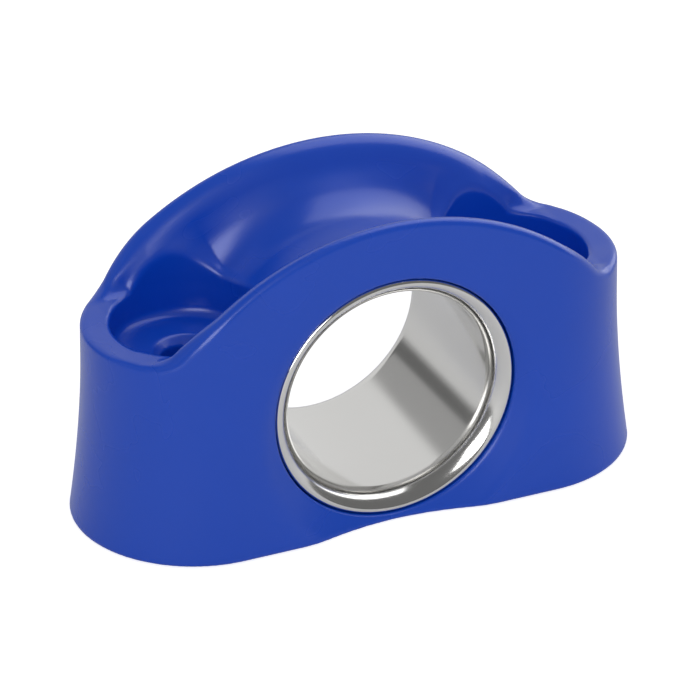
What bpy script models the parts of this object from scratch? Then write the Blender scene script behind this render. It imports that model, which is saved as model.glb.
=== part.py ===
"""Bullseye fairlead: a moulded plastic saddle with a stainless liner for a rope.

Frame: origin at the centre of the footprint, +Z up from the deck, +X along the saddle from
one screw pocket to the other, and the rope hole running along Y. Lengths are in metres.
"""

import math

import bmesh
import bpy

MM = 0.001

# Footprint and outline
SCREW_SPACING = 38.0 * MM       # hole centres, the usual pattern of a medium cam cleat
HALF_DEPTH = 13.4 * MM          # front and rear faces, at the deck
FACE_DRAFT = 0.0645             # how far each face leans in, per unit of height
HALF_LENGTH = 30.4 * MM         # ends, above the flare
END_FLARE = 1.4 * MM            # how far each end spreads at the deck
FLARE_HEIGHT = 18.0 * MM
FLARE_POWER = 1.8               # how late the flare opens on the way down
BOSS_HEIGHT = 22.9 * MM         # flat tops round the screw pockets
ARCH_RADIUS = 32.0 * MM         # crest of the two flanges
CROWN_HEIGHT = 34.9 * MM
FOOT_BLEND = 2.0 * MM           # height of the soft step from arch to boss

# Rope bore and liner
BORE_HEIGHT = 14.58 * MM        # axis above the deck
THROAT_RADIUS = 11.6 * MM       # inside of the liner's tube
TUBE_WALL = 0.55 * MM
TUBE_HALF_LENGTH = 7.5 * MM     # thin middle length of the tube
BELL_START = 8.9 * MM           # full thickness from here to the lip
BELL_WALL = 0.9 * MM
BELL_RADIUS = 1.85 * MM         # inner curve of each bell mouth
BELL_SWEEP = math.radians(84.0)
LINER_HALF_LENGTH = 11.5 * MM   # lip to centre plane
TUBE_CLEARANCE = 0.2 * MM       # between the thin tube and the body
BELL_CLEARANCE = 0.3 * MM       # between each bell mouth and the body
DISH_RADIUS = 16.5 * MM         # countersunk dish round each lip
DISH_DEPTH = 12.9 * MM          # where the dish has that radius, from the centre plane
LIP_SEAT_DEPTH = 11.6 * MM      # where the dish meets the liner's seat, from the centre plane

# Saddle between the flanges
CHANNEL_HALF_WIDTH = 8.0 * MM
CHANNEL_CORNER = 5.5 * MM       # curve from the channel's floor to its walls
CREST_ROUND = 2.0 * MM          # curve from the channel's walls to the crest
CREST_ROUND_SHARE = 0.4         # of the channel's depth, where it is shallow
HUMP_RADIUS = 14.4 * MM         # channel floor where it rides over the liner

# Screw pockets
POCKET_RADIUS = 7.9 * MM        # at the mouth
POCKET_DRAFT = 0.2 * MM         # how much narrower the pocket is at its floor
POCKET_FLOOR = 18.9 * MM        # height of the flat seat
POCKET_CORNER = 1.6 * MM
SINK_RADIUS = 3.6 * MM          # countersink at the seat
SCREW_HOLE_RADIUS = 2.75 * MM
POCKET_WEB = 0.7 * MM           # least plastic between a pocket and the liner's bore

SCREW_X = SCREW_SPACING / 2
TUBE_BORE_RADIUS = THROAT_RADIUS + TUBE_WALL + TUBE_CLEARANCE
OVERSHOOT = 3.0 * MM            # how far a cutter passes the surface that it opens

# Mesh fineness
BORE_STEPS = 72
POCKET_STEPS = 48
END_STEPS = 24                  # round each half-round end
FLARE_STEPS = 8
STATIONS = 44                   # along the channel and the crest
CORNER_STEPS = 7
CREST_STEPS = 4


def clear_scene():
    """Remove every object, so that the model is the whole scene."""
    for item in list(bpy.data.objects):
        bpy.data.objects.remove(item, do_unlink=True)


def make_material(name, colour, roughness, metallic=0.0):
    """A Principled material with one colour."""
    material = bpy.data.materials.new(name)
    material.use_nodes = True
    shader = material.node_tree.nodes["Principled BSDF"]
    shader.inputs["Base Color"].default_value = (*colour, 1.0)
    shader.inputs["Roughness"].default_value = roughness
    shader.inputs["Metallic"].default_value = metallic
    return material


def make_object(name, mesh_builder):
    """Turn a finished bmesh into an object with outward faces and smooth shading."""
    bmesh.ops.recalc_face_normals(mesh_builder, faces=mesh_builder.faces)
    mesh = bpy.data.meshes.new(name)
    mesh_builder.to_mesh(mesh)
    mesh_builder.free()
    mesh.shade_smooth()
    mesh.set_sharp_from_angle(angle=math.radians(30.0))
    item = bpy.data.objects.new(name, mesh)
    bpy.context.collection.objects.link(item)
    return item


def arc(centre_a, centre_b, radius, start, end, steps):
    """Points along an arc in a plane, both ends included; angles in radians."""
    points = []
    for index in range(steps + 1):
        angle = start + (end - start) * index / steps
        points.append((centre_a + radius * math.cos(angle), centre_b + radius * math.sin(angle)))
    return points


def blended_max(first, second, blend):
    """The larger of two heights, with a soft change-over."""
    overlap = max(blend - abs(first - second), 0.0) / blend
    return max(first, second) + overlap * overlap * blend / 4


def crest_height(x):
    """Top of the flanges and bosses at a station along the saddle."""
    arch_centre = CROWN_HEIGHT - ARCH_RADIUS
    arch = arch_centre + math.sqrt(max(ARCH_RADIUS ** 2 - x * x, 0.0))
    return blended_max(arch, BOSS_HEIGHT, FOOT_BLEND)


def floor_height(x):
    """Floor of the channel between the flanges, which rides over the liner as a hump."""
    reach = max(HUMP_RADIUS ** 2 - x * x, 0.0)
    return blended_max(BORE_HEIGHT + math.sqrt(reach), BOSS_HEIGHT, FOOT_BLEND / 2)


def stadium(half_length, half_depth, steps):
    """Outline with straight sides and half-round ends."""
    centre = half_length - half_depth
    right = arc(centre, 0.0, half_depth, -math.pi / 2, math.pi / 2, steps)
    left = arc(-centre, 0.0, half_depth, math.pi / 2, 3 * math.pi / 2, steps)
    return right + left


def loft(rings):
    """Closed skin through rings of equal length, with a cap on the first and last ring."""
    builder = bmesh.new()
    loops = [[builder.verts.new(point) for point in ring] for ring in rings]
    count = len(loops[0])
    for lower, upper in zip(loops, loops[1:]):
        for index in range(count):
            after = (index + 1) % count
            builder.faces.new((lower[index], lower[after], upper[after], upper[index]))
    builder.faces.new(loops[0])
    builder.faces.new(loops[-1])
    return builder


def turned(profile, steps, axis="Z"):
    """Solid of revolution from a closed (radius, height) profile, about the Z or Y axis."""
    builder = bmesh.new()
    verts = [builder.verts.new((radius, 0.0, height)) for radius, height in profile]
    edges = []
    for first, second in zip(verts, verts[1:] + verts[:1]):
        if first.co.x > 0 or second.co.x > 0:
            edges.append(builder.edges.new((first, second)))
    bmesh.ops.spin(
        builder, geom=verts + edges, cent=(0, 0, 0), axis=(0, 0, 1), dvec=(0, 0, 0),
        angle=2 * math.pi, steps=steps, use_merge=True,
    )
    bmesh.ops.remove_doubles(builder, verts=builder.verts, dist=1e-6)
    if axis == "Y":
        for vert in builder.verts:
            x, y, z = vert.co
            vert.co = (x, -z, y)
    return builder


def flared_block():
    """The saddle's outline raised past the crown, with leaning faces and flared ends."""
    rings = []
    levels = [FLARE_HEIGHT * index / FLARE_STEPS for index in range(FLARE_STEPS + 1)]
    levels.append(CROWN_HEIGHT + OVERSHOOT)
    for height in levels:
        share = max(1 - height / FLARE_HEIGHT, 0.0) ** FLARE_POWER
        half_length = HALF_LENGTH + END_FLARE * share
        half_depth = HALF_DEPTH - FACE_DRAFT * height
        outline = stadium(half_length, half_depth, END_STEPS)
        rings.append([(x, y, height) for x, y in outline])
    return make_object("fairlead_body", loft(rings))


def channel_section(x):
    """Underside of the space above the saddle at one station, from -Y to +Y."""
    crest = crest_height(x)
    floor = floor_height(x)
    depth = max(crest - floor, 0.0)
    crest_round = min(CREST_ROUND, CREST_ROUND_SHARE * depth)
    corner = depth - crest_round
    half = [(0.0, floor), (CHANNEL_HALF_WIDTH - CHANNEL_CORNER, floor)]
    for y, z in arc(0.0, 0.0, 1.0, -math.pi / 2, 0.0, CORNER_STEPS)[1:]:
        half.append((CHANNEL_HALF_WIDTH - CHANNEL_CORNER * (1 - y), floor + corner * (1 + z)))
    for y, z in arc(0.0, 0.0, 1.0, math.pi, math.pi / 2, CREST_STEPS)[1:]:
        half.append((CHANNEL_HALF_WIDTH + CREST_ROUND * (1 + y), crest - crest_round * (1 - z)))
    half.append((HALF_DEPTH + OVERSHOOT, crest))
    other = [(-y, z) for y, z in reversed(half[1:])]
    return other + half


def space_above():
    """Everything above the crest, the boss tops and the channel, as one cutter."""
    last = HALF_LENGTH + END_FLARE + OVERSHOOT
    top = CROWN_HEIGHT + 2 * OVERSHOOT
    rings = []
    for index in range(STATIONS + 1):
        x = last * (2 * index / STATIONS - 1)
        section = channel_section(x)
        section += [(section[-1][0], top), (section[0][0], top)]
        rings.append([(x, y, z) for y, z in section])
    return make_object("cut_space_above", loft(rings))


def tunnel():
    """The plastic that must stay round the liner's bore, where a pocket comes close."""
    radius = TUBE_BORE_RADIUS + POCKET_WEB
    profile = [(0.0, -HALF_DEPTH), (radius, -HALF_DEPTH), (radius, HALF_DEPTH), (0.0, HALF_DEPTH)]
    keep = make_object("keep_tunnel", turned(profile, BORE_STEPS, axis="Y"))
    keep.location.z = BORE_HEIGHT
    return keep


def pocket_cutter(name, x, keep):
    """Round pocket with a flat seat, a countersink and the screw hole below it."""
    top = BOSS_HEIGHT + CROWN_HEIGHT
    sink_depth = SINK_RADIUS - SCREW_HOLE_RADIUS
    corner_centre = POCKET_RADIUS - POCKET_DRAFT - POCKET_CORNER
    profile = [(0.0, top), (POCKET_RADIUS, top), (POCKET_RADIUS, BOSS_HEIGHT)]
    profile += arc(
        corner_centre, POCKET_FLOOR + POCKET_CORNER, POCKET_CORNER, 0.0, -math.pi / 2, 5,
    )
    profile += [
        (SINK_RADIUS, POCKET_FLOOR),
        (SCREW_HOLE_RADIUS, POCKET_FLOOR - sink_depth),
        (SCREW_HOLE_RADIUS, -OVERSHOOT),
        (0.0, -OVERSHOOT),
    ]
    cutter = make_object(name, turned(profile, POCKET_STEPS))
    cutter.location.x = x
    cut(cutter, keep)
    return cutter


def bell_arc(radius, steps):
    """A quarter-round of a bell mouth as (radius, distance along the bore) points."""
    centre_radius = THROAT_RADIUS + BELL_RADIUS
    centre_along = LINER_HALF_LENGTH - BELL_RADIUS
    return arc(centre_radius, centre_along, radius, math.pi, math.pi - BELL_SWEEP, steps)


def both_ends(half):
    """Complete a closed (radius, along) section from its positive half."""
    return half + [(radius, -along) for radius, along in reversed(half)]


def liner_profile():
    """Closed section of the liner: thin tube, two bell mouths and their beaded lips."""
    inner = bell_arc(BELL_RADIUS, 8)
    outer = bell_arc(BELL_RADIUS - BELL_WALL, 5)
    bead_radius = (inner[-1][0] + outer[-1][0]) / 2
    bead_along = (inner[-1][1] + outer[-1][1]) / 2
    heading = math.pi - BELL_SWEEP
    bead = arc(bead_radius, bead_along, BELL_WALL / 2, heading, heading - math.pi, 6)[1:-1]
    tube = [
        (THROAT_RADIUS + BELL_WALL, BELL_START),
        (THROAT_RADIUS + TUBE_WALL, TUBE_HALF_LENGTH),
    ]
    return both_ends(inner + bead + outer[::-1] + tube)


def bore_profile():
    """Closed section of the space for the liner, with the dish outside each lip."""
    bell = THROAT_RADIUS + BELL_WALL + BELL_CLEARANCE
    lip = THROAT_RADIUS + BELL_RADIUS + BELL_WALL / 2 + BELL_CLEARANCE / 2
    shoulder = LINER_HALF_LENGTH - BELL_RADIUS
    seat = LINER_HALF_LENGTH - BELL_WALL - BELL_CLEARANCE
    slope = (DISH_RADIUS - lip) / (DISH_DEPTH - LIP_SEAT_DEPTH)
    half = [
        (TUBE_BORE_RADIUS, TUBE_HALF_LENGTH - TUBE_CLEARANCE),
        (bell, BELL_START - BELL_CLEARANCE),
        (bell, shoulder),
        (bell + seat - shoulder, seat),
        (lip, seat),
        (lip, LIP_SEAT_DEPTH),
        (DISH_RADIUS + slope * OVERSHOOT, DISH_DEPTH + OVERSHOOT),
        (0.0, DISH_DEPTH + OVERSHOOT),
    ]
    return both_ends(half)


def cut(body, cutter):
    """Subtract a cutter and keep it as a hidden guide."""
    step = body.modifiers.new(cutter.name, "BOOLEAN")
    step.operation = "DIFFERENCE"
    step.solver = "EXACT"
    step.object = cutter
    cutter.hide_render = True
    cutter.display_type = "WIRE"


def build_body(material):
    """The moulded saddle."""
    body = flared_block()
    body.data.materials.append(material)
    cut(body, space_above())
    keep = tunnel()
    for side, sign in (("left", -1), ("right", 1)):
        cut(body, pocket_cutter(f"cut_pocket_{side}", sign * SCREW_X, keep))
    bore = make_object("cut_bore", turned(bore_profile(), BORE_STEPS, axis="Y"))
    bore.location.z = BORE_HEIGHT
    cut(body, bore)
    return body


def build_liner(material):
    """The stainless liner, concentric with the bore."""
    liner = make_object("stainless_liner", turned(liner_profile(), BORE_STEPS, axis="Y"))
    liner.location.z = BORE_HEIGHT
    liner.data.materials.append(material)
    return liner


def main():
    """Build the two pieces."""
    clear_scene()
    plastic = make_material("blue_nylon", (0.008, 0.07, 0.40), 0.28)
    steel = make_material("polished_stainless", (0.72, 0.71, 0.69), 0.12, metallic=1.0)
    build_body(plastic)
    build_liner(steel)


main()
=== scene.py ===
import math

import bmesh
import bpy
import numpy as np
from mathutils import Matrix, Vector


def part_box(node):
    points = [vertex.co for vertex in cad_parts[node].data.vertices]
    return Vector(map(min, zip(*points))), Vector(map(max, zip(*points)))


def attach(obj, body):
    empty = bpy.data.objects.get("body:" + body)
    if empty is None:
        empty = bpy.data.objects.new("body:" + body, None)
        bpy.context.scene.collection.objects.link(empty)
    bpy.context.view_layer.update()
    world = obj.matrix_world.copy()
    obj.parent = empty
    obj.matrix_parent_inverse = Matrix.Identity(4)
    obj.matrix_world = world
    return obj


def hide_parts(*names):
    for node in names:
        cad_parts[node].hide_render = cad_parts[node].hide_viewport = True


# The looks of a bullseye fairlead: a glossy blue moulded saddle round a polished stainless liner.
# Metres, +Z up, the rope hole along Y and the two screw pockets along X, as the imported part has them.

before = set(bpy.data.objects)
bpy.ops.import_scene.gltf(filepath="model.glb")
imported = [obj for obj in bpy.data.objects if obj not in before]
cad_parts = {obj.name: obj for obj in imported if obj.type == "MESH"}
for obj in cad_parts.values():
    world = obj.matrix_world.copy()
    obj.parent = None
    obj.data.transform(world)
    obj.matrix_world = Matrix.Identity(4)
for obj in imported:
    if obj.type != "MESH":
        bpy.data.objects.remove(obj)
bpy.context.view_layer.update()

MM = 0.001

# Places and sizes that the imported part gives
BODY_LOW, BODY_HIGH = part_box("fairlead_body")
LINER_LOW, LINER_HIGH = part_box("stainless_liner")
FOOT_HALF_DEPTH = BODY_HIGH.y                   # faces, at the deck
FOOT_HALF_LENGTH = BODY_HIGH.x                  # ends, at the deck
CROWN_HEIGHT = BODY_HIGH.z
LIP_RADIUS = LINER_HIGH.x                       # outer edge of the liner's lips
LIP_REACH = LINER_HIGH.y                        # centre plane to the lip's face
BORE_HEIGHT = (LINER_LOW.z + LINER_HIGH.z) / 2  # axis of the rope hole

# Saddle
FACE_DRAFT = 0.0645             # how far each face leans in, per unit of height
END_INSET = 0.2 * MM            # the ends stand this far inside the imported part's box
END_FLARE = 1.5 * MM            # how far each end spreads at the deck
FLARE_HEIGHT = 18.0 * MM
FLARE_POWER = 1.8
HALF_LENGTH = FOOT_HALF_LENGTH - END_INSET - END_FLARE
BOSS_HEIGHT = 22.7 * MM         # flat tops round the screw pockets
ARCH_RADIUS = 32.0 * MM
ARCH_CENTRE = CROWN_HEIGHT - ARCH_RADIUS
FOOT_ROUND = 1.0 * MM           # hollow curve from the arch to the boss
DECK_EDGE_ROUND = 0.4 * MM
TOP_EDGE_ROUND = 0.8 * MM       # outer edge of the flanges and the boss tops

# Channel between the flanges
CHANNEL_HALF_WIDTH = 8.3 * MM
CHANNEL_CORNER = 6.3 * MM
CHANNEL_FLOOR = 23.2 * MM
SLOT_DEPTH = 2.3 * MM           # the flanges' inner walls go at least this far below the crest
SLOT_CORNER = 1.6 * MM
SLOT_BLEND = 2.0 * MM           # softens the meeting of those walls and the bowl below
HUMP_RADIUS = 14.4 * MM         # channel floor where it rides over the liner
HUMP_BLEND = 1.5 * MM
CREST_ROUND = 2.1 * MM          # inner edge of the flanges
CREST_ROUND_LEAST = 0.4 * MM    # where the channel has no depth
CREST_ROUND_SHARE = 0.35        # how fast the round grows with the channel's depth

# Screw pockets
SCREW_X = 19.0 * MM
POCKET_RADIUS = 8.05 * MM
POCKET_DRAFT = 0.2 * MM
POCKET_FLOOR = 18.9 * MM
POCKET_CORNER = 1.1 * MM
POCKET_EDGE = 0.4 * MM
SINK_RADIUS = 3.6 * MM
SCREW_HOLE_RADIUS = 2.75 * MM
SINK_EDGE = 0.15 * MM

# Liner and the bore round it
THROAT_RADIUS = 11.6 * MM
TUBE_WALL = 0.55 * MM
TUBE_HALF_LENGTH = 7.5 * MM
BELL_START = 8.9 * MM
BELL_WALL = 0.9 * MM
BELL_SWEEP = math.radians(62.0)
BEAD_RADIUS = BELL_WALL / 2     # rounded lip at the end of the bell mouth
LIP_RISE = LIP_RADIUS - THROAT_RADIUS - BEAD_RADIUS
BELL_RADIUS = (LIP_RISE - BEAD_RADIUS * math.cos(BELL_SWEEP)) / (1.0 - math.cos(BELL_SWEEP))
BELL_CENTRE = LIP_REACH - BEAD_RADIUS - (BELL_RADIUS - BEAD_RADIUS) * math.sin(BELL_SWEEP)
TUBE_CLEARANCE = 0.2 * MM
BELL_CLEARANCE = 0.3 * MM
TUNNEL_WALL = 0.7 * MM          # least plastic between the liner and a pocket
TUNNEL_BLEND = 0.6 * MM
DISH_RADIUS = 16.5 * MM
DISH_DEPTH = 12.9 * MM          # where the dish has that radius, from the centre plane
DISH_EDGE_BLEND = 0.45 * MM
LIP_GAP = 0.12 * MM             # between the lip's edge and the moulding round it
LIP_SEAT_RADIUS = LIP_RADIUS + LIP_GAP
LIP_SEAT_DEPTH = 11.6 * MM
SEAT_EDGE = 0.15 * MM

# Nylon
NYLON_DEEP = (0.0015, 0.062, 0.53, 1.0)
NYLON_PALE = (0.0025, 0.072, 0.61, 1.0)
NYLON_ROUGHNESS = (0.23, 0.31)
NYLON_IOR = 1.5
FLOW_SCALE = 60.0               # flow marks, per metre, as are the other scales
PEEL_SCALE = 900.0
GRAIN_SCALE = 6000.0
NYLON_BUMP = 0.02 * MM

# Steel
STEEL_TINT = (0.77, 0.765, 0.75, 1.0)
STEEL_ROUGHNESS = (0.10, 0.20)
TURNING_SCALE = 9000.0
TURNING_STRETCH = 0.03          # how much slower the marks change round the bore than along it
SMEAR_SCALE = 140.0
STEEL_BUMP = 0.005 * MM

# Paper floor
WHITE = (1.0, 1.0, 1.0, 1.0)
PAPER_TINT = (0.60, 0.60, 0.60, 1.0)
PAPER_ROUGHNESS = 0.9
FIBRE_SCALE = 800.0
FIBRE_BUMP = 0.05 * MM
FLOOR_HALF_WIDTH = 3.0
FLOOR_DROP = 0.05 * MM          # below the deck plane, so that the two never flicker
FLOOR_LIGHT = 0.20              # glow of the paper, as multiples of paper white
FLOOR_CAMERA_LIGHT = 0.75       # and how it looks straight to the camera

# Room light, as multiples of paper white. The bounds are parts of a unit direction.
ROOM_LIGHT = 0.75               # room on the camera's side, as it fills the shadows
ROOM_GLOSS = 0.20               # and as it shows in reflections
ROOM_END = 0.05                 # how far back the room reaches in reflections
ROOM_SOFT = 0.25
BACKDROP_LIGHT = 0.95           # bright sweep behind the object
BACKDROP_START = 0.0            # how far back the sweep begins and is full
BACKDROP_END = 0.5
SCREEN_LIGHT = 0.46             # grey screen that stands behind and to the left
SCREEN_LEAN = 0.40              # where the screen ends, as leftward over backward reach
SCREEN_SOFT = 0.05
SCREEN_START = 0.25             # how far back it stands
SCREEN_START_SOFT = 0.15
GAP_LIGHT = 0.18                # dark gap under the screen
GAP_LOW = 0.045                 # sine of the gap's lower and upper elevation
GAP_HIGH = 0.21
GAP_SOFT = 0.02
ROOF_START = 0.78               # sine of the elevation above which reflections are ROOM_GLOSS
ROOF_SOFT = 0.06
UNBOUNDED = 2.0                 # further than any part of a unit direction

# Softboxes and camera
SOFTBOX_DISTANCE = 1.0
LENS = 386.5                    # millimetres, as is the sensor's width
SENSOR_WIDTH = 36.0
CAMERA_TARGET = Vector((2.49, 5.65, 11.19)) * MM
CAMERA_AZIMUTH = -24.46
CAMERA_ELEVATION = 28.90
CAMERA_DISTANCE = 806.7 * MM
CLIP_START = 0.01
CLIP_END = 20.0

# Mesh fineness
VOXEL = 0.25 * MM
SETTLE_ROUNDS = 5
LEAST_STEEPNESS = 0.25          # keeps the steps short where the distance is nearly level
LINER_STEPS = 256               # round the bore
BELL_STEPS = 20                 # inside and outside of the bell mouth, and its lip
BELL_BACK_STEPS = 10
BEAD_STEPS = 14
LINER_SHARP_ANGLE = math.radians(25.0)


# ---------------------------------------------------------------- shape of the saddle

def both(a, b, radius):
    """Signed distance to the overlap of two solids, with the edge between them rounded."""
    inner = np.minimum(-radius, np.maximum(a, b))
    return inner + np.hypot(np.maximum(a + radius, 0.0), np.maximum(b + radius, 0.0))


def either(a, b, radius):
    """Signed distance to two solids joined, with a hollow fillet between them."""
    return -both(-a, -b, radius)


def soft_both(a, b, blend):
    """Overlap of two solids whose faces meet at a shallow angle."""
    overlap = np.maximum(blend - np.abs(a - b), 0.0) / blend
    return np.maximum(a, b) + overlap * overlap * blend / 4


def outline_distance(x, y, z):
    """To the half-round ended plan, with leaning faces and ends flared at the deck."""
    share = np.maximum(1.0 - z / FLARE_HEIGHT, 0.0) ** FLARE_POWER
    half_depth = FOOT_HALF_DEPTH - FACE_DRAFT * z
    end_centre = HALF_LENGTH + END_FLARE * share - half_depth
    return np.hypot(np.maximum(np.abs(x) - end_centre, 0.0), y) - half_depth


def crest_distance(x, z):
    """To the arch of the flanges joined with the flat boss tops."""
    arch = np.hypot(x, z - ARCH_CENTRE) - ARCH_RADIUS
    return either(arch, z - BOSS_HEIGHT, FOOT_ROUND)


def channel_distance(x, y, z):
    """To the space between the flanges, above the hump over the liner."""
    hump = np.hypot(x, z - BORE_HEIGHT) - HUMP_RADIUS
    floor = either(hump, z - CHANNEL_FLOOR, HUMP_BLEND)
    wall = np.abs(y) - CHANNEL_HALF_WIDTH
    below_crest = ARCH_RADIUS - SLOT_DEPTH - np.hypot(x, z - ARCH_CENTRE)
    slot = both(np.maximum(below_crest, BOSS_HEIGHT - z), wall, SLOT_CORNER)
    bowl = both(-floor, wall, CHANNEL_CORNER)
    return -soft_both(-bowl, -slot, SLOT_BLEND)


def pocket_distance(x, y, z, from_bore):
    """To the space in the two screw pockets, which bulge in where the liner passes."""
    reach = np.hypot(np.abs(x) - SCREW_X, y)
    share = np.clip((BOSS_HEIGHT - z) / (BOSS_HEIGHT - POCKET_FLOOR), 0.0, 1.0)
    wall = reach - POCKET_RADIUS + POCKET_DRAFT * share
    tunnel = THROAT_RADIUS + TUBE_WALL + TUBE_CLEARANCE + TUNNEL_WALL
    space = both(wall, POCKET_FLOOR - z, POCKET_CORNER)
    return both(space, tunnel - from_bore, TUNNEL_BLEND)


def screw_hole_distance(x, y, z):
    """To the countersunk holes in the pocket floors."""
    reach = np.hypot(np.abs(x) - SCREW_X, y)
    cone = (reach - SINK_RADIUS + POCKET_FLOOR - z) / math.sqrt(2.0)
    sink = np.maximum(cone, z - POCKET_FLOOR - POCKET_EDGE)
    return np.minimum(reach - SCREW_HOLE_RADIUS, sink)


def liner_space_distance(y, from_bore):
    """To the space that the liner sits in, without the dish."""
    along = np.abs(y)
    tube = from_bore - THROAT_RADIUS - TUBE_WALL - TUBE_CLEARANCE
    bell_radius = THROAT_RADIUS + BELL_WALL + BELL_CLEARANCE
    bell = np.maximum(from_bore - bell_radius, TUBE_HALF_LENGTH - along)
    behind_bell = np.hypot(from_bore - THROAT_RADIUS - BELL_RADIUS, along - BELL_CENTRE)
    clear_of_bell = BELL_RADIUS - BELL_WALL - BELL_CLEARANCE - behind_bell
    seat = np.maximum(from_bore - LIP_SEAT_RADIUS, BELL_CENTRE - along)
    seat = np.maximum(seat, clear_of_bell)
    return np.minimum(np.minimum(tube, bell), seat)


def dish_distance(y, from_bore):
    """Beyond the shallow cone that is sunk round each lip; positive in the open."""
    run = DISH_RADIUS - LIP_SEAT_RADIUS
    rise = DISH_DEPTH - LIP_SEAT_DEPTH
    across = (np.abs(y) - LIP_SEAT_DEPTH) * run - (from_bore - LIP_SEAT_RADIUS) * rise
    return across / math.hypot(run, rise)


def saddle_distance(x, y, z):
    """Signed distance to the moulded saddle: below zero inside, above zero outside."""
    from_bore = np.hypot(x, z - BORE_HEIGHT)
    walls = soft_both(outline_distance(x, y, z), dish_distance(y, from_bore), DISH_EDGE_BLEND)
    solid = both(walls, crest_distance(x, z), TOP_EDGE_ROUND)
    solid = both(solid, -z, DECK_EDGE_ROUND)
    arch_top = ARCH_CENTRE + np.sqrt(np.maximum(ARCH_RADIUS ** 2 - x * x, 0.0))
    depth = np.maximum(arch_top - CHANNEL_FLOOR, 0.0)
    crest_round = np.minimum(CREST_ROUND, CREST_ROUND_LEAST + CREST_ROUND_SHARE * depth)
    solid = both(solid, -channel_distance(x, y, z), crest_round)
    solid = both(solid, -pocket_distance(x, y, z, from_bore), POCKET_EDGE)
    solid = both(solid, -screw_hole_distance(x, y, z), SINK_EDGE)
    return both(solid, -liner_space_distance(y, from_bore), SEAT_EDGE)


# ---------------------------------------------------------------- surface from a distance

def cell_crossings(values):
    """Mean place, in cell units, of the surface's crossings of each cell's twelve edges."""
    size = tuple(n - 1 for n in values.shape)
    total = np.zeros(size + (3,))
    count = np.zeros(size)
    for axis in range(3):
        others = [a for a in range(3) if a != axis]
        for shift in range(4):
            offset = [0, 0, 0]
            offset[others[0]] = shift % 2
            offset[others[1]] = shift // 2
            low = tuple(slice(offset[a], offset[a] + size[a]) for a in range(3))
            offset[axis] = 1
            high = tuple(slice(offset[a], offset[a] + size[a]) for a in range(3))
            first, last = values[low], values[high]
            crosses = (first < 0) != (last < 0)
            share = np.where(crosses, first / np.where(crosses, first - last, 1.0), 0.0)
            offset[axis] = 0
            for a in range(3):
                place = share if a == axis else crosses * float(offset[a])
                total[..., a] += place
            count += crosses
    return total, count


def surface_quads(values, numbers):
    """One quad round every grid edge that the surface crosses, facing out of the solid."""
    quads = []
    for axis in range(3):
        one, two = (axis + 1) % 3, (axis + 2) % 3
        low = [slice(1, -1)] * 3
        high = [slice(1, -1)] * 3
        low[axis] = slice(0, -1)
        high[axis] = slice(1, None)
        inside = values[tuple(low)] < 0
        leaves = inside & (values[tuple(high)] >= 0)
        enters = ~inside & (values[tuple(high)] < 0)
        for mask, turn in ((leaves, 1), (enters, -1)):
            at = np.argwhere(mask)
            at[:, one] += 1
            at[:, two] += 1
            corners = []
            for step_one, step_two in ((-1, -1), (0, -1), (0, 0), (-1, 0))[::turn]:
                cell = at.copy()
                cell[:, one] += step_one
                cell[:, two] += step_two
                corners.append(numbers[cell[:, 0], cell[:, 1], cell[:, 2]])
            quads.append(np.stack(corners, axis=1))
    return np.concatenate(quads)


def slope(distance, points):
    """Gradient of a distance function at each point."""
    reach = VOXEL / 10
    parts = []
    for axis in range(3):
        step = np.zeros(3)
        step[axis] = reach
        parts.append(distance(*(points + step).T) - distance(*(points - step).T))
    return np.stack(parts, axis=1) / (2 * reach)


def settle(distance, points):
    """Move points along the slope until they lie on the surface."""
    for _ in range(SETTLE_ROUNDS):
        gradient = slope(distance, points)
        steep = np.maximum((gradient ** 2).sum(axis=1), LEAST_STEEPNESS)
        move = distance(*points.T) / steep
        move = np.clip(move, -VOXEL / 2, VOXEL / 2)
        points = points - move[:, None] * gradient
    return points


def mesh_from_distance(name, distance, low, high):
    """Closed quad mesh of the surface where a signed distance is zero."""
    margin = 2 * VOXEL
    start = np.array(low) - margin
    counts = np.ceil((np.array(high) + margin - start) / VOXEL).astype(int) + 1
    axes = [start[a] + VOXEL * np.arange(counts[a]) for a in range(3)]
    values = distance(*np.meshgrid(*axes, indexing="ij", sparse=True))
    total, count = cell_crossings(values)
    used = count > 0
    numbers = np.full(count.shape, -1)
    numbers[used] = np.arange(used.sum())
    cells = np.argwhere(used)
    points = start + VOXEL * (cells + total[used] / count[used][:, None])
    points = settle(distance, points)
    quads = surface_quads(values, numbers)
    mesh = bpy.data.meshes.new(name)
    mesh.from_pydata(points.tolist(), [], quads.tolist())
    mesh.shade_smooth()
    return mesh


# ---------------------------------------------------------------- shape of the liner

def arc(centre, radius, start, end, steps):
    """Points along an arc, both ends included; angles in radians."""
    points = []
    for index in range(steps + 1):
        angle = start + (end - start) * index / steps
        across = centre[0] + radius * math.cos(angle)
        along = centre[1] + radius * math.sin(angle)
        points.append((across, along))
    return points


def liner_section():
    """Closed section of the liner as (radius, distance along the bore) points."""
    centre = (THROAT_RADIUS + BELL_RADIUS, BELL_CENTRE)
    leave = math.pi - BELL_SWEEP
    inner = arc(centre, BELL_RADIUS, math.pi, leave, BELL_STEPS)
    outer = arc(centre, BELL_RADIUS - BELL_WALL, leave, math.pi, BELL_BACK_STEPS)
    bead_centre = (
        (inner[-1][0] + outer[0][0]) / 2,
        (inner[-1][1] + outer[0][1]) / 2,
    )
    bead = arc(bead_centre, BEAD_RADIUS, leave, leave - math.pi, BEAD_STEPS)[1:-1]
    tube = [
        (THROAT_RADIUS + BELL_WALL, BELL_START),
        (THROAT_RADIUS + TUBE_WALL, TUBE_HALF_LENGTH),
    ]
    half = inner + bead + outer + tube
    return half + [(across, -along) for across, along in reversed(half)]


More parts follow.
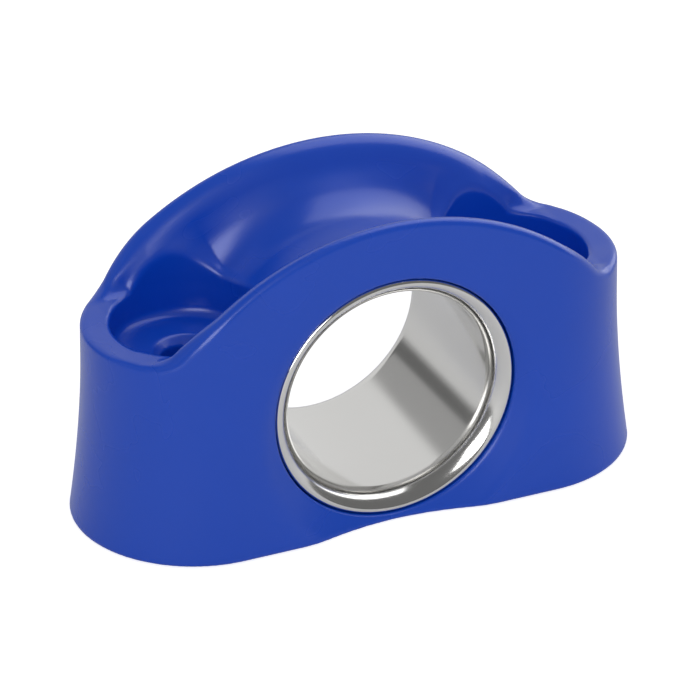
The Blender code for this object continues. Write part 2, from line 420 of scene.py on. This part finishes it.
def liner_mesh():
    """The liner's section turned about the bore's axis."""
    builder = bmesh.new()
    section = liner_section()
    rings = []
    for step in range(LINER_STEPS):
        angle = 2 * math.pi * step / LINER_STEPS
        ring = []
        for across, along in section:
            x = across * math.cos(angle)
            z = BORE_HEIGHT + across * math.sin(angle)
            ring.append(builder.verts.new((x, along, z)))
        rings.append(ring)
    for ring, after in zip(rings, rings[1:] + rings[:1]):
        for index in range(len(section)):
            following = (index + 1) % len(section)
            builder.faces.new((ring[index], ring[following], after[following], after[index]))
    bmesh.ops.recalc_face_normals(builder, faces=builder.faces)
    mesh = bpy.data.meshes.new("liner_turned")
    builder.to_mesh(mesh)
    builder.free()
    mesh.shade_smooth()
    mesh.set_sharp_from_angle(angle=LINER_SHARP_ANGLE)
    return mesh


# ---------------------------------------------------------------- materials

def new_material(name):
    """Empty node material: returns it with its tree and its Principled shader."""
    material = bpy.data.materials.new(name)
    material.use_nodes = True
    tree = material.node_tree
    return material, tree, tree.nodes["Principled BSDF"]


def add_node(tree, kind, **settings):
    """Add a node and set its named properties or input values."""
    node = tree.nodes.new(kind)
    for key, value in settings.items():
        if key in node.inputs:
            node.inputs[key].default_value = value
        else:
            setattr(node, key.lower(), value)
    return node


def remap(tree, source, low, high):
    """Turn a 0 to 1 value into one between low and high."""
    node = add_node(tree, "ShaderNodeMapRange")
    node.inputs["To Min"].default_value = low
    node.inputs["To Max"].default_value = high
    tree.links.new(source, node.inputs["Value"])
    return node.outputs["Result"]


def nylon_material():
    """Glossy blue moulded nylon: faint flow marks, orange peel and a fine grain."""
    material, tree, shader = new_material("blue_nylon")
    link = tree.links.new
    place = add_node(tree, "ShaderNodeTexCoord")
    flow = add_node(tree, "ShaderNodeTexNoise", Scale=FLOW_SCALE, Detail=3.0, Distortion=0.6)
    peel = add_node(tree, "ShaderNodeTexNoise", Scale=PEEL_SCALE, Detail=2.0)
    grain = add_node(tree, "ShaderNodeTexNoise", Scale=GRAIN_SCALE, Detail=2.0)
    for node in (flow, peel, grain):
        link(place.outputs["Object"], node.inputs["Vector"])

    tint = add_node(tree, "ShaderNodeMix", data_type="RGBA")
    tint.inputs["A"].default_value = NYLON_DEEP
    tint.inputs["B"].default_value = NYLON_PALE
    link(flow.outputs["Fac"], tint.inputs["Factor"])
    link(tint.outputs["Result"], shader.inputs["Base Color"])

    rough = remap(tree, flow.outputs["Fac"], *NYLON_ROUGHNESS)
    link(rough, shader.inputs["Roughness"])
    shader.inputs["IOR"].default_value = NYLON_IOR

    fine_bump = add_node(tree, "ShaderNodeBump", Strength=0.10, Distance=NYLON_BUMP)
    link(grain.outputs["Fac"], fine_bump.inputs["Height"])
    bump = add_node(tree, "ShaderNodeBump", Strength=0.25, Distance=NYLON_BUMP)
    link(peel.outputs["Fac"], bump.inputs["Height"])
    link(fine_bump.outputs["Normal"], bump.inputs["Normal"])
    link(bump.outputs["Normal"], shader.inputs["Normal"])
    return material


def steel_material():
    """Polished stainless with fine marks that run round the bore."""
    material, tree, shader = new_material("polished_stainless")
    link = tree.links.new
    place = add_node(tree, "ShaderNodeTexCoord")
    stretch = add_node(tree, "ShaderNodeMapping")
    stretch.inputs["Scale"].default_value = (TURNING_STRETCH, 1.0, TURNING_STRETCH)
    link(place.outputs["Object"], stretch.inputs["Vector"])
    turning = add_node(tree, "ShaderNodeTexNoise", Scale=TURNING_SCALE, Detail=3.0)
    link(stretch.outputs["Vector"], turning.inputs["Vector"])
    smear = add_node(tree, "ShaderNodeTexNoise", Scale=SMEAR_SCALE, Detail=3.0)
    link(place.outputs["Object"], smear.inputs["Vector"])

    shader.inputs["Base Color"].default_value = STEEL_TINT
    shader.inputs["Metallic"].default_value = 1.0
    rough = remap(tree, smear.outputs["Fac"], *STEEL_ROUGHNESS)
    link(rough, shader.inputs["Roughness"])
    bump = add_node(tree, "ShaderNodeBump", Strength=0.15, Distance=STEEL_BUMP)
    link(turning.outputs["Fac"], bump.inputs["Height"])
    link(bump.outputs["Normal"], shader.inputs["Normal"])
    return material


def floor_material():
    """Matt white paper sweep."""
    material, tree, shader = new_material("white_paper")
    fibre = add_node(tree, "ShaderNodeTexNoise", Scale=FIBRE_SCALE, Detail=4.0)
    place = add_node(tree, "ShaderNodeTexCoord")
    tree.links.new(place.outputs["Object"], fibre.inputs["Vector"])
    bump = add_node(tree, "ShaderNodeBump", Strength=0.05, Distance=FIBRE_BUMP)
    tree.links.new(fibre.outputs["Fac"], bump.inputs["Height"])
    tree.links.new(bump.outputs["Normal"], shader.inputs["Normal"])
    shader.inputs["Base Color"].default_value = PAPER_TINT
    shader.inputs["Roughness"].default_value = PAPER_ROUGHNESS
    shader.inputs["Emission Color"].default_value = WHITE
    ray = add_node(tree, "ShaderNodeLightPath")
    glow = remap(tree, ray.outputs["Is Camera Ray"], FLOOR_LIGHT, FLOOR_CAMERA_LIGHT)
    tree.links.new(glow, shader.inputs["Emission Strength"])
    return material


# ---------------------------------------------------------------- pieces, light and camera

def add_piece(name, mesh, material, node):
    """Show a fine piece in place of a CAD node, riding on the same body."""
    piece = bpy.data.objects.new(name, mesh)
    bpy.context.collection.objects.link(piece)
    mesh.materials.append(material)
    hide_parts(node)
    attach(piece, "root")
    return piece


def add_floor():
    """White ground that reaches well past the camera's view."""
    half = FLOOR_HALF_WIDTH
    mesh = bpy.data.meshes.new("floor")
    corners = [(-half, -half, 0.0), (half, -half, 0.0), (half, half, 0.0), (-half, half, 0.0)]
    mesh.from_pydata(corners, [], [(0, 1, 2, 3)])
    mesh.materials.append(floor_material())
    floor = bpy.data.objects.new("floor", mesh)
    bpy.context.collection.objects.link(floor)
    floor.location.z = -FLOOR_DROP


def direction(azimuth, elevation):
    """Unit vector towards a place seen from the object; azimuth 0 is towards -Y, 90 towards +X."""
    a, e = math.radians(azimuth), math.radians(elevation)
    return Vector((math.sin(a) * math.cos(e), -math.cos(a) * math.cos(e), math.sin(e)))


def add_softbox(name, azimuth, elevation, size, brightness):
    """Area light aimed at the object; brightness is in multiples of paper white."""
    data = bpy.data.lights.new(name, "AREA")
    data.shape = "RECTANGLE"
    data.size, data.size_y = size
    data.energy = brightness * math.pi * size[0] * size[1]
    light = bpy.data.objects.new(name, data)
    bpy.context.collection.objects.link(light)
    towards = direction(azimuth, elevation)
    light.location = towards * SOFTBOX_DISTANCE
    light.rotation_euler = towards.to_track_quat("Z", "Y").to_euler()
    light.visible_camera = False
    return light


def add_softboxes():
    """One softbox that only fills shadows, and two that are only seen as highlights."""
    fill = add_softbox("fill", azimuth=-20.0, elevation=42.0, size=(0.50, 0.50), brightness=1.6)
    fill.visible_glossy = False
    left = add_softbox("left", azimuth=-40.0, elevation=21.0, size=(0.55, 0.52), brightness=4.8)
    left.visible_diffuse = False
    right = add_softbox("right", azimuth=106.0, elevation=44.0, size=(1.05, 1.60), brightness=2.0)
    right.visible_diffuse = False


def combine(tree, operation, first, second):
    """One value worked out from two, such as their product or the larger one."""
    node = add_node(tree, "ShaderNodeMath", operation=operation)
    tree.links.new(first, node.inputs[0])
    tree.links.new(second, node.inputs[1])
    return node.outputs["Value"]


def band(tree, value, low, high, soft):
    """One where a value lies between two bounds, zero outside them."""
    rise = add_node(tree, "ShaderNodeMapRange", interpolation_type="SMOOTHSTEP")
    rise.inputs["From Min"].default_value = low - soft
    rise.inputs["From Max"].default_value = low + soft
    fall = add_node(tree, "ShaderNodeMapRange", interpolation_type="SMOOTHSTEP")
    fall.inputs["From Min"].default_value = high + soft
    fall.inputs["From Max"].default_value = high - soft
    for node in (rise, fall):
        tree.links.new(value, node.inputs["Value"])
    return combine(tree, "MULTIPLY", rise.outputs["Result"], fall.outputs["Result"])


def blend_values(tree, share, first, second):
    """Mix two numbers, each a socket or a constant, by a share from 0 to 1."""
    node = add_node(tree, "ShaderNodeMix", data_type="FLOAT")
    tree.links.new(share, node.inputs["Factor"])
    for socket, value in ((node.inputs["A"], first), (node.inputs["B"], second)):
        if isinstance(value, float):
            socket.default_value = value
        else:
            tree.links.new(value, socket)
    return node.outputs["Result"]


def add_world():
    """White to the camera. The object has a room, a bright backdrop and a grey screen round it."""
    world = bpy.data.worlds.new("studio")
    bpy.context.scene.world = world
    world.use_nodes = True
    tree = world.node_tree
    tree.nodes.clear()
    link = tree.links.new
    place = add_node(tree, "ShaderNodeTexCoord")
    split = add_node(tree, "ShaderNodeSeparateXYZ")
    link(place.outputs["Generated"], split.inputs["Vector"])
    ramp = add_node(tree, "ShaderNodeMapRange", interpolation_type="SMOOTHSTEP")
    ramp.inputs["From Min"].default_value = BACKDROP_START
    ramp.inputs["From Max"].default_value = BACKDROP_END
    ramp.inputs["To Min"].default_value = ROOM_LIGHT
    ramp.inputs["To Max"].default_value = BACKDROP_LIGHT
    link(split.outputs["Y"], ramp.inputs["Value"])
    leftward = add_node(tree, "ShaderNodeMath", operation="MULTIPLY_ADD")
    link(split.outputs["Y"], leftward.inputs[0])
    leftward.inputs[1].default_value = SCREEN_LEAN
    link(split.outputs["X"], leftward.inputs[2])
    leftside = band(tree, leftward.outputs["Value"], -UNBOUNDED, 0.0, SCREEN_SOFT)
    behind = band(tree, split.outputs["Y"], SCREEN_START, UNBOUNDED, SCREEN_START_SOFT)
    screen = combine(tree, "MULTIPLY", leftside, behind)
    gap = band(tree, split.outputs["Z"], GAP_LOW, GAP_HIGH, GAP_SOFT)
    screen_tone = blend_values(tree, gap, SCREEN_LIGHT, GAP_LIGHT)
    tone = blend_values(tree, screen, ramp.outputs["Result"], screen_tone)

    ray = add_node(tree, "ShaderNodeLightPath")
    front = band(tree, split.outputs["Y"], -UNBOUNDED, ROOM_END, ROOM_SOFT)
    overhead = band(tree, split.outputs["Z"], ROOF_START, UNBOUNDED, ROOF_SOFT)
    dark = combine(tree, "MAXIMUM", front, overhead)
    dark_reflection = combine(tree, "MULTIPLY", dark, ray.outputs["Is Glossy Ray"])
    tone = blend_values(tree, dark_reflection, tone, ROOM_GLOSS)
    studio = add_node(tree, "ShaderNodeBackground")
    link(tone, studio.inputs["Strength"])
    paper = add_node(tree, "ShaderNodeBackground", Strength=1.0)
    paper.inputs["Color"].default_value = WHITE
    choose = add_node(tree, "ShaderNodeMixShader")
    link(ray.outputs["Is Camera Ray"], choose.inputs["Fac"])
    link(studio.outputs["Background"], choose.inputs[1])
    link(paper.outputs["Background"], choose.inputs[2])
    output = add_node(tree, "ShaderNodeOutputWorld")
    link(choose.outputs["Shader"], output.inputs["Surface"])


def add_camera():
    """Long lens from the front left, a little under thirty degrees above the deck."""
    data = bpy.data.cameras.new("camera")
    data.sensor_width = SENSOR_WIDTH
    data.lens = LENS
    data.clip_start = CLIP_START
    data.clip_end = CLIP_END
    camera = bpy.data.objects.new("camera", data)
    bpy.context.collection.objects.link(camera)
    back = direction(CAMERA_AZIMUTH, CAMERA_ELEVATION)
    camera.location = CAMERA_TARGET + CAMERA_DISTANCE * back
    camera.rotation_euler = back.to_track_quat("Z", "Y").to_euler()
    bpy.context.scene.camera = camera


saddle = mesh_from_distance("saddle_moulded", saddle_distance, BODY_LOW, BODY_HIGH)
body_piece = add_piece("moulded_saddle", saddle, nylon_material(), "fairlead_body")
liner_piece = add_piece("turned_liner", liner_mesh(), steel_material(), "stainless_liner")

add_floor()
add_world()
add_softboxes()
add_camera()
bpy.context.scene.view_settings.view_transform = "Standard"
